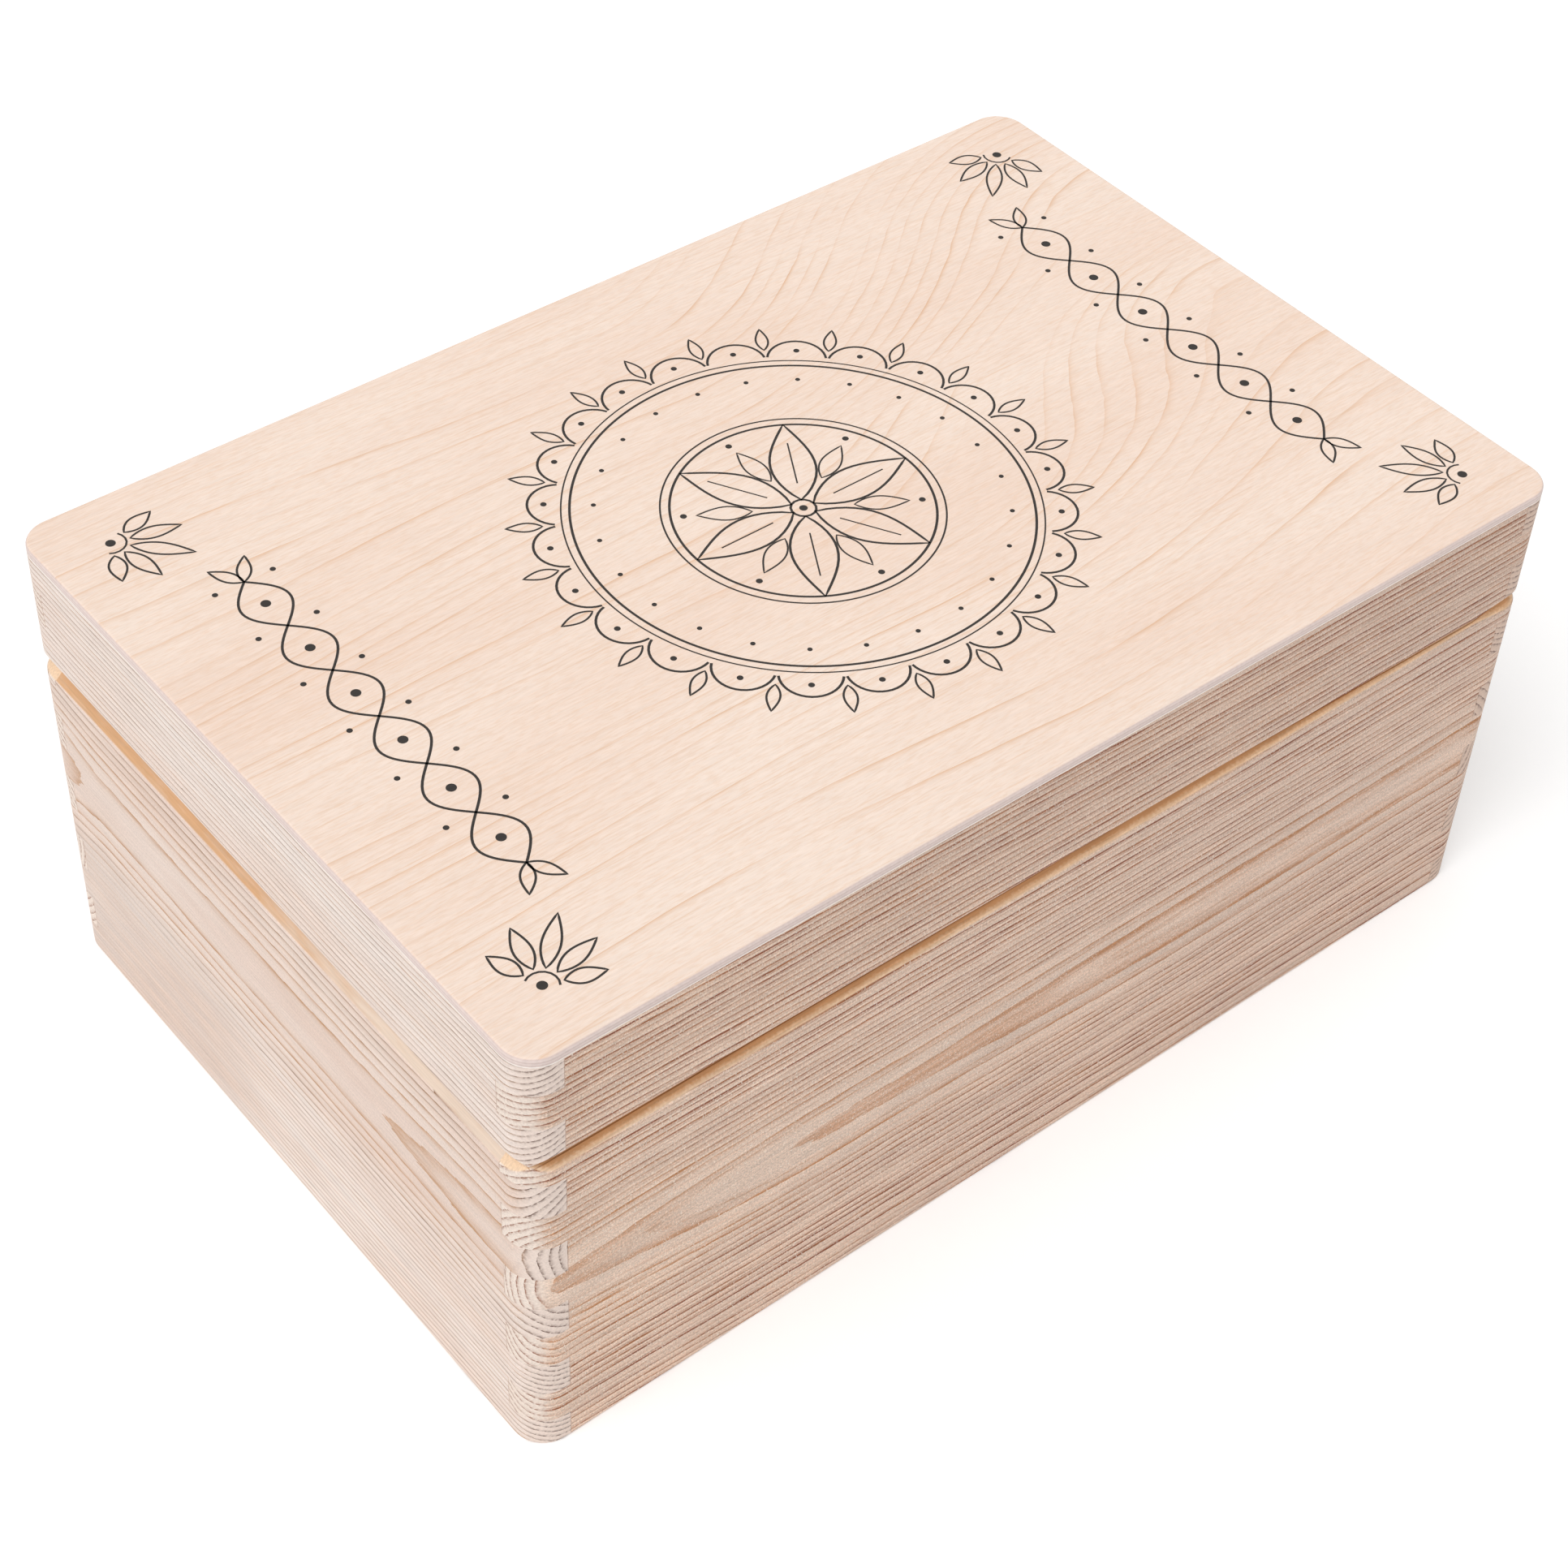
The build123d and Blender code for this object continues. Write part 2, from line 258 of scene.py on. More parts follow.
    # Line colour goes from resin orange near the pith to brown in the outer rings. Each line has
    # a soft orange side, where the summer wood begins, and a crisp outer edge.
    tone = add(tree, "ShaderNodeMapRange", {"Value": slope, "From Min": flame_end, "From Max": flame_end + 0.15})
    resin = add(tree, "ShaderNodeTexNoise", {"Vector": long_point, "Scale": 1 / 3.2, "Detail": 1.0})
    resin = add(
        tree, "ShaderNodeMapRange", {"Value": resin, "From Min": 0.38, "From Max": 0.6, "To Min": 0.45, "To Max": 1}
    )
    tone = add(tree, "ShaderNodeMath", {0: tone, 1: resin}, operation="MULTIPLY")
    near_line, outer_line, line_side = map(srgb, late)
    late_colour = add(tree, "ShaderNodeMixRGB", {"Fac": tone, "Color1": near_line, "Color2": outer_line})

    # Patches of warmer and paler wood, 60 mm long and more
    patch = add(tree, "ShaderNodeTexNoise", {"Vector": long_point, "Scale": 1 / 14, "Detail": 2.0})
    patch = add(tree, "ShaderNodeMapRange", {"Value": patch, "From Min": 0.35, "From Max": 0.65})
    spring_wood, darker_patch = map(srgb, early)
    early_colour = add(tree, "ShaderNodeMixRGB", {"Fac": patch, "Color1": spring_wood, "Color2": darker_patch})
    halo = add(tree, "ShaderNodeMath", {0: ring, 1: 3.0}, operation="POWER")
    halo = add(tree, "ShaderNodeMath", {0: halo, 1: streak}, operation="MULTIPLY")
    halo = add(tree, "ShaderNodeMath", {0: halo, 1: line_share}, operation="MULTIPLY")
    uneven = add(tree, "ShaderNodeMapRange", {"Value": vigour, "To Min": 0.4, "To Max": 1.1})
    halo = add(tree, "ShaderNodeMath", {0: halo, 1: uneven}, operation="MULTIPLY")
    halo = add(tree, "ShaderNodeMath", {0: halo, 1: side_share}, operation="MULTIPLY", use_clamp=True)
    tone = add(tree, "ShaderNodeMath", {0: number, 1: 0.37}, operation="ADD")
    tone = add(tree, "ShaderNodeTexWhiteNoise", {"W": tone}, noise_dimensions="1D")
    tone = add(tree, "ShaderNodeMapRange", {"Value": tone, "To Min": 1 - ring_tones, "To Max": 1 + ring_tones})
    early_colour = add(
        tree, "ShaderNodeMixRGB", {"Fac": 1.0, "Color1": early_colour, "Color2": tone}, blend_type="MULTIPLY"
    )
    face_colour = add(tree, "ShaderNodeMixRGB", {"Fac": halo, "Color1": early_colour, "Color2": line_side})
    face_colour = add(tree, "ShaderNodeMixRGB", {"Fac": line_face, "Color1": face_colour, "Color2": late_colour})

    # Sanded fibres, which on a cut end are pores. They are drawn 0.45 mm wide and 14 mm long,
    # about ten times coarser than real ones, so that they show.
    fibre_scale = (1 / 30, 1, 1) if along == "X" else (1, 1 / 30, 1)
    fibre_point = add(tree, "ShaderNodeVectorMath", {0: point, 1: fibre_scale}, operation="MULTIPLY")
    fibre = add(tree, "ShaderNodeTexNoise", {"Vector": fibre_point, "Scale": 2.2, "Detail": 3.0})
    fibre = add(
        tree,
        "ShaderNodeMapRange",
        {
            "Value": fibre, "From Min": 0.3, "From Max": 0.7,
            "To Min": 1 - fibre_share, "To Max": 1 + 0.6 * fibre_share,
        },
    )
    face_colour = add(
        tree, "ShaderNodeMixRGB", {"Fac": 1.0, "Color1": face_colour, "Color2": fibre}, blend_type="MULTIPLY"
    )

    # Marks of the sanding belt, drawn 0.5 mm wide where its grit is nearer 0.1 mm, and pale
    # raised hairs where the fibres lifted, painted near white as the glints of light they catch
    grit = add(tree, "ShaderNodeTexNoise", {"Vector": point, "Scale": 2.1, "Detail": 3.0})
    grit = add(
        tree,
        "ShaderNodeMapRange",
        {"Value": grit, "From Min": 0.3, "From Max": 0.7, "To Min": 1 - grit_share, "To Max": 1 + grit_share},
    )
    face_colour = add(
        tree, "ShaderNodeMixRGB", {"Fac": 1.0, "Color1": face_colour, "Color2": grit}, blend_type="MULTIPLY"
    )
    hair_scale = (1, 1 / 2, 1 / 2) if along == "X" else (1 / 2, 1, 1 / 2)
    hair_point = add(tree, "ShaderNodeVectorMath", {0: point, 1: hair_scale}, operation="MULTIPLY")
    hair_glint = add(tree, "ShaderNodeTexNoise", {"Vector": hair_point, "Scale": 3.4, "Detail": 1.0})
    hair_glint = add(
        tree,
        "ShaderNodeMapRange",
        {"Value": hair_glint, "From Min": 0.62, "From Max": 0.72, "To Min": 0.0, "To Max": hair_glint_share},
    )
    face_colour = add(tree, "ShaderNodeMixRGB", {"Fac": hair_glint, "Color1": face_colour, "Color2": srgb("#FFF4E8")})

    # Stretches painted a little darker, given by where each begins, is full, fades and ends. On the left board they
    # are the wood's own tone; on the front board the one toward the right is painted shade.
    for measure, begin, full, fade_from, end, shade in tone_and_shade_stretches:
        value = run if measure == "run" else height
        rising = add(tree, "ShaderNodeMapRange", {"Value": value, "From Min": begin, "From Max": full})
        falling = add(
            tree,
            "ShaderNodeMapRange",
            {"Value": value, "From Min": fade_from, "From Max": end, "To Min": 1, "To Max": 0},
        )
        share = add(tree, "ShaderNodeMath", {0: rising, 1: falling}, operation="MULTIPLY")
        face_colour = add(
            tree,
            "ShaderNodeMixRGB",
            {"Fac": share, "Color1": face_colour, "Color2": srgb(shade)},
            blend_type="MULTIPLY",
        )

    # Cut ends: the piece of surface that faces along the grain
    grain = (1, 0, 0) if along == "X" else (0, 1, 0)
    facing = add(
        tree, "ShaderNodeVectorMath", {0: place.outputs["Normal"], 1: grain}, operation="DOT_PRODUCT"
    ).outputs["Value"]
    facing = add(tree, "ShaderNodeMath", {0: facing}, operation="ABSOLUTE")
    cut_end = add(
        tree,
        "ShaderNodeMapRange",
        {"Value": facing, "From Min": 0.25, "From Max": 0.75},
        interpolation_type="SMOOTHSTEP",
    )
    end_wood, end_line = map(srgb, ends)
    end_colour = add(tree, "ShaderNodeMixRGB", {"Fac": line_end, "Color1": end_wood, "Color2": end_line})
    end_colour = add(
        tree, "ShaderNodeMixRGB", {"Fac": 1.0, "Color1": end_colour, "Color2": fibre}, blend_type="MULTIPLY"
    )
    colour = add(tree, "ShaderNodeMixRGB", {"Fac": cut_end, "Color1": face_colour, "Color2": end_colour})

    # The glue line where a cut end meets the board it is jointed to
    inner = (WIDTH if along == "X" else LENGTH) / 2 - BOARD_T
    joint = add(tree, "ShaderNodeMath", {0: side}, operation="ABSOLUTE")
    joint = add(tree, "ShaderNodeMath", {0: joint, 1: inner + 0.22}, operation="LESS_THAN")
    joint = add(tree, "ShaderNodeMath", {0: joint, 1: cut_end}, operation="MULTIPLY")
    joint = add(tree, "ShaderNodeMath", {0: joint, 1: 0.5}, operation="MULTIPLY")
    colour = add(tree, "ShaderNodeMixRGB", {"Fac": joint, "Color1": colour, "Color2": srgb("#A97C5E")})

    # Depth behind the rounded outer face, to find the routed groove
    plan = add(tree, "ShaderNodeVectorMath", {0: point}, operation="ABSOLUTE")
    core = (LENGTH / 2 - CORNER_R, WIDTH / 2 - CORNER_R, HEIGHT)
    plan = add(tree, "ShaderNodeVectorMath", {0: plan, 1: core}, operation="SUBTRACT")
    plan = add(tree, "ShaderNodeVectorMath", {0: plan, 1: (0, 0, 0)}, operation="MAXIMUM")
    reach = add(tree, "ShaderNodeVectorMath", {0: plan}, operation="LENGTH").outputs["Value"]
    depth = add(tree, "ShaderNodeMath", {0: CORNER_R, 1: reach}, operation="SUBTRACT")
    routed = add(tree, "ShaderNodeMapRange", {"Value": depth, "From Min": 0.1, "From Max": 0.35})
    shallow = add(
        tree, "ShaderNodeMapRange", {"Value": depth, "From Min": 3.7, "From Max": 4.0, "To Min": 1, "To Max": 0}
    )
    off_groove = add(tree, "ShaderNodeMath", {0: height, 1: GROOVE_Z}, operation="SUBTRACT")
    off_groove = add(tree, "ShaderNodeMath", {0: off_groove}, operation="ABSOLUTE")
    near = add(tree, "ShaderNodeMath", {0: off_groove, 1: GROOVE_REACH}, operation="LESS_THAN")
    routed = add(tree, "ShaderNodeMath", {0: routed, 1: shallow}, operation="MULTIPLY")
    routed = add(tree, "ShaderNodeMath", {0: routed, 1: near}, operation="MULTIPLY")
    fade = add(tree, "ShaderNodeMapRange", {"Value": run, "From Min": fresh_run[0], "From Max": fresh_run[1]})
    mottle = add(tree, "ShaderNodeTexNoise", {"Vector": long_point, "Scale": 1 / 1.3, "Detail": 3.0})
    mottle = add(
        tree,
        "ShaderNodeMapRange",
        {"Value": mottle, "From Min": 0.3, "From Max": 0.7, "To Min": -0.22, "To Max": 0.22},
    )
    fade = add(tree, "ShaderNodeMath", {0: fade, 1: mottle}, operation="ADD", use_clamp=True)
    first_fresh, last_fresh, deep_fresh_with_shade = map(srgb, fresh)
    shallow_fresh = add(tree, "ShaderNodeMixRGB", {"Fac": fade, "Color1": first_fresh, "Color2": last_fresh})
    # Deeper in the groove the colour is painted browner: partly browning where the bit rubbed, partly painted shade
    # under the lid's overhang
    torn = add(tree, "ShaderNodeMath", {0: pores, 1: 0.3, 2: depth}, operation="MULTIPLY_ADD")
    deep_shade_share = add(tree, "ShaderNodeMapRange", {"Value": torn, "From Min": deep_shade_depth[0], "From Max": deep_shade_depth[1]})
    long_grain = add(tree, "ShaderNodeMath", {0: 1.0, 1: cut_end}, operation="SUBTRACT")
    deep_shade_share = add(tree, "ShaderNodeMath", {0: deep_shade_share, 1: long_grain}, operation="MULTIPLY")
    fresh_colour = add(tree, "ShaderNodeMixRGB", {"Fac": deep_shade_share, "Color1": shallow_fresh, "Color2": deep_fresh_with_shade})
    fresh_colour = add(
        tree, "ShaderNodeMixRGB", {"Fac": 1.0, "Color1": fresh_colour, "Color2": fibre}, blend_type="MULTIPLY"
    )
    colour = add(tree, "ShaderNodeMixRGB", {"Fac": routed, "Color1": colour, "Color2": fresh_colour})

    # Summer lines stand a little proud of the softer spring wood after sanding
    relief = add(tree, "ShaderNodeMath", {0: line, 1: fibre}, operation="ADD")
    bump = add(tree, "ShaderNodeBump", {"Height": relief, "Strength": 0.25, "Distance": 0.08 * MM})
    tree.links.new(colour.outputs[0], shader.inputs["Base Color"])
    tree.links.new(bump.outputs[0], shader.inputs["Normal"])
    shader.inputs["Roughness"].default_value = 0.62
    shader.inputs["IOR"].default_value = 1.45
    return material


# The long boards have dark brown lines, and the short ones pale tan lines, closer together
long_board = dict(
    along="X", below=0.9, flame_slopes=(0.1, 0.78), half_ring=0.4, line_power=6.0, flame_power=3.4, side_share=0.7,
    least_line=0.4, line_in_flame=0.5, ring_tones=0.04, outward_gain=1.6,
    early=("#F2D6C1", "#E8CEBB"), late=("#C0824E", "#863A00", "#BC7234"), ends=("#F4E4D7", "#8A4514"),
    fresh=("#F4D6B6", "#F0CDA8", "#D09A68"), fresh_run=(-150, 140), deep_shade_depth=(0.45, 1.5),
)
short_board = dict(
    along="Y", below=1.0, flame_slopes=(0.1, 0.55), line_strength=(0.8, 1.2), half_ring=0.1, line_power=7.0,
    flame_power=5.0, side_share=0.2, least_line=0.8, line_in_flame=0.6, ring_tones=0.03, outward_gain=1.05,
    late=("#BA7C1C", "#7E5020", "#DCB485"), deep_shade_depth=(9, 10), hair_glint_share=0.25, fibre_share=0.1,
)

# Front board: the pith lies just outside the front face and comes nearer to the right, so the
# flame opens to the right at half height
front_pine = bare_pine(
    "front_pine", pith=(-112.9, 58.0), drifts=[(-155, -62, 3.9, -3.0), (-80, 60, 2.3, -3.0)],
    rings=(0.25, 0.45, 13.0, 0.29), line_strength=(0.1, 3.4), grit_share=0.24, hair_glint_share=0.7, fibre_share=0.15,
    # Painted shade: the front is a little darker toward the right, away from the light on the left. It is also a
    # little darker from 90 to 98 mm upward.
    tone_and_shade_stretches=[("run", -120, 60, 900, 901, "#F3F2F3"), ("height", 90, 98, 900, 901, "#F9F8F7")], **long_board,
)

# Back board: a similar board, with its pith outside the back face
back_pine = bare_pine(
    "back_pine", pith=(112.0, 40.0), drifts=[(-150, 150, -3.0, 12.0)], rings=(0.27, 0.2, 13.0, 0.26),
    line_strength=(0.1, 3.0), grit_share=0.2, hair_glint_share=0.6, fibre_share=0.14, **long_board,
)

# Left board: its pith lies behind the inner face, 23 mm in, so the face shows fine lines above
# and below a broad pale flame
left_pine = bare_pine(
    "left_pine", pith=(-126.7, 66.0), drifts=[(-30, -95, -1.3, 1.8), (72, 100, -1.7, 0.0)],
    rings=(0.485, -0.155, 36.0, 0.115), early=("#F5E8E0", "#F0DDD2"), ends=("#F2DFD3", "#5E3D2E"),
    fresh=("#E6D2C0", "#D8AB80", "#D4A072"), fresh_run=(-50, 15), grit_share=0.09, plain=(-5, 35, 52, 36, 0.15),
    tone_and_shade_stretches=[("height", 36, 52, 93, 98, "#F6EFEA")], **short_board,
)

# Right board: a similar board, turned over
right_pine = bare_pine(
    "right_pine", pith=(127.5, 52.0), drifts=[(-60, 95, 2.0, 3.0)], rings=(0.46, 0.3, 36.0, 0.12),
    early=("#EEDDD2", "#E7D3C7"), ends=("#DDC2B0", "#5F3B34"), fresh=("#E2C2A4", "#D8AB80", "#D4A072"),
    fresh_run=(-60, 60), grit_share=0.1, **short_board,
)


def birch_plywood(name):
    """Thin birch plywood, sanded, not lacquered.

    The face veneer was peeled off the log in one turning sheet, so its rings show as wandering
    tan contours over short pale fibres. The sanded edge shows the crossed layers and the glue,
    which turn greyish white.
    """
    material, tree, shader = new_material(name)
    place = add(tree, "ShaderNodeTexCoord")
    point = add(
        tree, "ShaderNodeVectorMath", {0: place.outputs["Object"], 1: (1000, 1000, 1000)}, operation="MULTIPLY"
    )
    split = add(tree, "ShaderNodeSeparateXYZ", {0: point})

    # Rings of the peeled sheet: near-parallel along the lid, rising on the right-hand side, and
    # bent into loops where the log was uneven
    slow_point = add(tree, "ShaderNodeVectorMath", {0: point, 1: (1 / 4, 1, 0)}, operation="MULTIPLY")
    bend = add(tree, "ShaderNodeTexNoise", {"Vector": slow_point, "Scale": 1 / 46, "Detail": 0.0})
    ripple = add(tree, "ShaderNodeTexNoise", {"Vector": slow_point, "Scale": 1 / 9, "Detail": 2.0})
    rise = add(
        tree,
        "ShaderNodeMapRange",
        {"Value": split.outputs["X"], "From Min": 0, "From Max": 150, "To Min": 0, "To Max": -58},
        interpolation_type="SMOOTHSTEP",
    )
    rear_share = add(
        tree,
        "ShaderNodeMapRange",
        {"Value": split.outputs["Y"], "From Min": -70, "From Max": 20, "To Min": 0.15, "To Max": 1},
    )
    rise = add(tree, "ShaderNodeMath", {0: rise, 1: rear_share}, operation="MULTIPLY")
    field = add(tree, "ShaderNodeMath", {0: bend, 1: 24.0, 2: split.outputs["Y"]}, operation="MULTIPLY_ADD")
    field = add(tree, "ShaderNodeMath", {0: ripple, 1: 1.6, 2: field}, operation="MULTIPLY_ADD")
    field = add(tree, "ShaderNodeMath", {0: field, 1: rise}, operation="ADD")
    field = add(tree, "ShaderNodeMath", {0: field, 1: 1 / 4.4}, operation="MULTIPLY")
    contour = add(tree, "ShaderNodeMath", {0: field}, operation="FRACT")
    contour = add(tree, "ShaderNodeMath", {0: contour, 1: 8.0}, operation="POWER")
    number = add(tree, "ShaderNodeMath", {0: field}, operation="FLOOR")
    vigour = add(tree, "ShaderNodeTexWhiteNoise", {"W": number}, noise_dimensions="1D")
    contour = add(tree, "ShaderNodeMath", {0: contour, 1: vigour.outputs["Value"]}, operation="MULTIPLY")
    patch = add(tree, "ShaderNodeTexNoise", {"Vector": slow_point, "Scale": 1 / 13, "Detail": 3.0})
    patch = add(
        tree,
        "ShaderNodeMapRange",
        {"Value": patch, "From Min": 0.36, "From Max": 0.62, "To Min": 0.15, "To Max": 1.0},
    )
    contour = add(tree, "ShaderNodeMath", {0: contour, 1: patch}, operation="MULTIPLY", use_clamp=True)
    tone = add(tree, "ShaderNodeTexNoise", {"Vector": slow_point, "Scale": 1 / 40, "Detail": 2.0})
    tone = add(tree, "ShaderNodeMapRange", {"Value": tone, "From Min": 0.35, "From Max": 0.65})
    face = add(tree, "ShaderNodeMixRGB", {"Fac": tone, "Color1": srgb("#FCE8D9"), "Color2": srgb("#F8DFCE")})
    face = add(tree, "ShaderNodeMixRGB", {"Fac": contour, "Color1": face, "Color2": srgb("#E2AE80")})

    # Fibres 0.6 mm wide and 8 mm long, pore dashes 0.4 mm wide and 3 mm long, and thin tan
    # veins 30 mm long. Birch pores are nearer 0.1 mm wide, so they are drawn coarser.
    fibre_point = add(tree, "ShaderNodeVectorMath", {0: point, 1: (1 / 12, 1, 1)}, operation="MULTIPLY")
    fibre = add(tree, "ShaderNodeTexNoise", {"Vector": fibre_point, "Scale": 1.6, "Detail": 3.0})
    fibre_shade = add(
        tree, "ShaderNodeMapRange", {"Value": fibre, "From Min": 0.3, "From Max": 0.7, "To Min": 0.95, "To Max": 1.03}
    )
    face = add(tree, "ShaderNodeMixRGB", {"Fac": 1.0, "Color1": face, "Color2": fibre_shade}, blend_type="MULTIPLY")
    dash_point = add(tree, "ShaderNodeVectorMath", {0: point, 1: (1 / 7, 1, 1)}, operation="MULTIPLY")
    dash = add(tree, "ShaderNodeTexNoise", {"Vector": dash_point, "Scale": 2.4, "Detail": 2.0})
    dash = add(
        tree, "ShaderNodeMapRange", {"Value": dash, "From Min": 0.46, "From Max": 0.66, "To Min": 0, "To Max": 0.28}
    )
    face = add(tree, "ShaderNodeMixRGB", {"Fac": dash, "Color1": face, "Color2": srgb("#EBC3A1")})
    vein_point = add(tree, "ShaderNodeVectorMath", {0: point, 1: (1 / 45, 1, 1)}, operation="MULTIPLY")
    vein = add(tree, "ShaderNodeTexNoise", {"Vector": vein_point, "Scale": 1.5, "Detail": 2.0})
    vein = add(
        tree, "ShaderNodeMapRange", {"Value": vein, "From Min": 0.58, "From Max": 0.74, "To Min": 0, "To Max": 0.32}
    )
    face = add(tree, "ShaderNodeMixRGB", {"Fac": vein, "Color1": face, "Color2": srgb("#E4B68C")})

    # Edge: layers about 0.8 mm thick, seen as faint bands, and a white line at the bottom
    above = add(tree, "ShaderNodeMath", {0: split.outputs["Z"], 1: PANEL_UNDERSIDE}, operation="SUBTRACT")
    layer = add(tree, "ShaderNodeMath", {0: above, 1: 2 * pi / 0.8}, operation="MULTIPLY")
    layer = add(tree, "ShaderNodeMath", {0: layer}, operation="SINE")
    layer = add(tree, "ShaderNodeMapRange", {"Value": layer, "From Min": -1, "From Max": 1})
    edge = add(tree, "ShaderNodeMixRGB", {"Fac": layer, "Color1": srgb("#DDC8C1"), "Color2": srgb("#EBD9D2")})
    bottom_white_line = add(
        tree, "ShaderNodeMapRange", {"Value": above, "From Min": 0.22, "From Max": 0.34, "To Min": 1, "To Max": 0}
    )
    edge = add(tree, "ShaderNodeMixRGB", {"Fac": bottom_white_line, "Color1": edge, "Color2": srgb("#FFF6EE")})
    fleck = add(tree, "ShaderNodeTexNoise", {"Vector": point, "Scale": 1.1, "Detail": 3.0})
    fleck = add(
        tree,
        "ShaderNodeMapRange",
        {"Value": fleck, "From Min": 0.3, "From Max": 0.7, "To Min": 0.93, "To Max": 1.04},
    )
    edge = add(tree, "ShaderNodeMixRGB", {"Fac": 1.0, "Color1": edge, "Color2": fleck}, blend_type="MULTIPLY")
    upward = add(tree, "ShaderNodeSeparateXYZ", {0: place.outputs["Normal"]}).outputs["Z"]
    upward = add(tree, "ShaderNodeMath", {0: upward}, operation="ABSOLUTE")
    flat = add(
        tree,
        "ShaderNodeMapRange",
        {"Value": upward, "From Min": 0.6, "From Max": 0.97},
        interpolation_type="SMOOTHSTEP",
    )
    colour = add(tree, "ShaderNodeMixRGB", {"Fac": flat, "Color1": edge, "Color2": face})
    bump = add(tree, "ShaderNodeBump", {"Height": fibre, "Strength": 0.15, "Distance": 0.05 * MM})
    tree.links.new(colour.outputs[0], shader.inputs["Base Color"])
    tree.links.new(bump.outputs[0], shader.inputs["Normal"])
    shader.inputs["Roughness"].default_value = 0.55
    shader.inputs["IOR"].default_value = 1.45
    return material


lid_plywood = birch_plywood("lid_plywood")


def zinc_plated_steel(name, roughness):
    """Stamped mild steel with a thin zinc plating: a pale grey satin with faint streaks along
    the rolling direction."""
    material, tree, shader = new_material(name)
    place = add(tree, "ShaderNodeTexCoord")
    streak_point = add(
        tree, "ShaderNodeVectorMath", {0: place.outputs["Object"], 1: (200, 5000, 5000)}, operation="MULTIPLY"
    )
    streak = add(tree, "ShaderNodeTexNoise", {"Vector": streak_point, "Scale": 1.0, "Detail": 2.0})
    colour = add(tree, "ShaderNodeMixRGB", {"Fac": streak, "Color1": srgb("#B9BABC"), "Color2": srgb("#D6D6D4")})
    rough = add(
        tree,
        "ShaderNodeMapRange",
        {"Value": streak, "From Min": 0.3, "From Max": 0.7, "To Min": roughness, "To Max": roughness + 0.12},
    )
    tree.links.new(colour.outputs[0], shader.inputs["Base Color"])
    tree.links.new(rough.outputs[0], shader.inputs["Roughness"])
    shader.inputs["Metallic"].default_value = 1.0
    return material


hinge_zinc = zinc_plated_steel("hinge_zinc", 0.3)
screw_zinc = zinc_plated_steel("screw_zinc", 0.24)


def give(material, names):
    """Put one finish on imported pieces."""
    for name in names:
        for slot in nodes[name].material_slots:
            slot.material = material


give(front_pine, ["front_board", "lid_front_rail"])
give(back_pine, ["back_board", "lid_back_rail"])
give(left_pine, ["left_board", "lid_left_rail"])
give(right_pine, ["right_board", "lid_right_rail"])
give(lid_plywood, ["lid_panel", "bottom_panel"])
give(hinge_zinc, [name for name in nodes if "hinge" in name and "screws" not in name])


# Hinge screws, mm: where each stands and how far round the driver left it, in degrees
SCREW_TURNS = ((-99, 12), (-81, 57), (81, 33), (99, 78))
SCREW_Y = 92.9
HEAD_R = 1.5
HEAD_DEPTH = 0.7
HEAD_EDGE = 0.05
SHANK_R = 0.8
TIP_R = 0.1
TIP_LENGTH = 1.6
SCREW_LENGTH = 7.0

# Cross recess: half width and reach of its arms at the head and down on its floor, mm
RECESS_TOP = (0.28, 0.95)
RECESS_FLOOR = (0.16, 0.5)
FLOOR_DEPTH = 0.5
POINT_DEPTH = 0.62
POINT_R = 0.02


def cross_recess_screws(name, body, node, face_height, into_wood):
    """Four countersunk screws with a cross recess. They are rings of points from the middle of
    the recess out over the head and down to the tip. into_wood is 1 upward and -1 downward."""

    def cross(angle, arm_half_width, arm_reach):
        """How far the outline of the cross lies from its middle at an angle."""
        folded = min(angle % 90, 90 - angle % 90)
        on_arm_end = folded <= degrees(atan2(arm_half_width, arm_reach))
        return arm_reach / cos(radians(folded)) if on_arm_end else arm_half_width / sin(radians(folded))

    arm = degrees(atan2(*RECESS_TOP))
    quarter = (0, arm, (arm + 45) / 2, 45, (135 - arm) / 2, 90 - arm)
    angles = [90 * turn + step for turn in range(4) for step in quarter]
    count = len(angles)
    rings = [
        ([POINT_R] * count, POINT_DEPTH),
        ([cross(angle, *RECESS_FLOOR) for angle in angles], FLOOR_DEPTH),
        ([cross(angle, *RECESS_TOP) for angle in angles], 0.0),
        ([HEAD_R - 1.2 * HEAD_EDGE] * count, 0.0),
        ([HEAD_R] * count, HEAD_EDGE),
        ([SHANK_R] * count, HEAD_DEPTH),
        ([SHANK_R] * count, SCREW_LENGTH - TIP_LENGTH),
        ([TIP_R] * count, SCREW_LENGTH),
    ]
    vertices, faces = [], []
    for x, turned in SCREW_TURNS:
        first = len(vertices)
        for radii, depth in rings:
            height = face_height + into_wood * depth
            for angle, radius in zip(angles, radii):
                spoke = radians(angle + turned)
                vertices.append(((x + radius * cos(spoke)) * MM, (SCREW_Y + radius * sin(spoke)) * MM, height * MM))
        for ring in range(len(rings) - 1):
            start = first + ring * count
            for step in range(count):
                a, b = start + step, start + (step + 1) % count
                faces.append((a, b, b + count, a + count))
        last = first + (len(rings) - 1) * count
        faces += [tuple(range(first, first + count)), tuple(range(last, last + count))]
    mesh = bpy.data.meshes.new(name)
    mesh.from_pydata(vertices, [], faces)
    form = bmesh.new()
    form.from_mesh(mesh)
    bmesh.ops.recalc_face_normals(form, faces=form.faces)
    form.to_mesh(mesh)
    form.free()
    mesh.materials.append(screw_zinc)
    screws = bpy.data.objects.new(name, mesh)
    bpy.context.scene.collection.objects.link(screws)
    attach(screws, body)
    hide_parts(node)


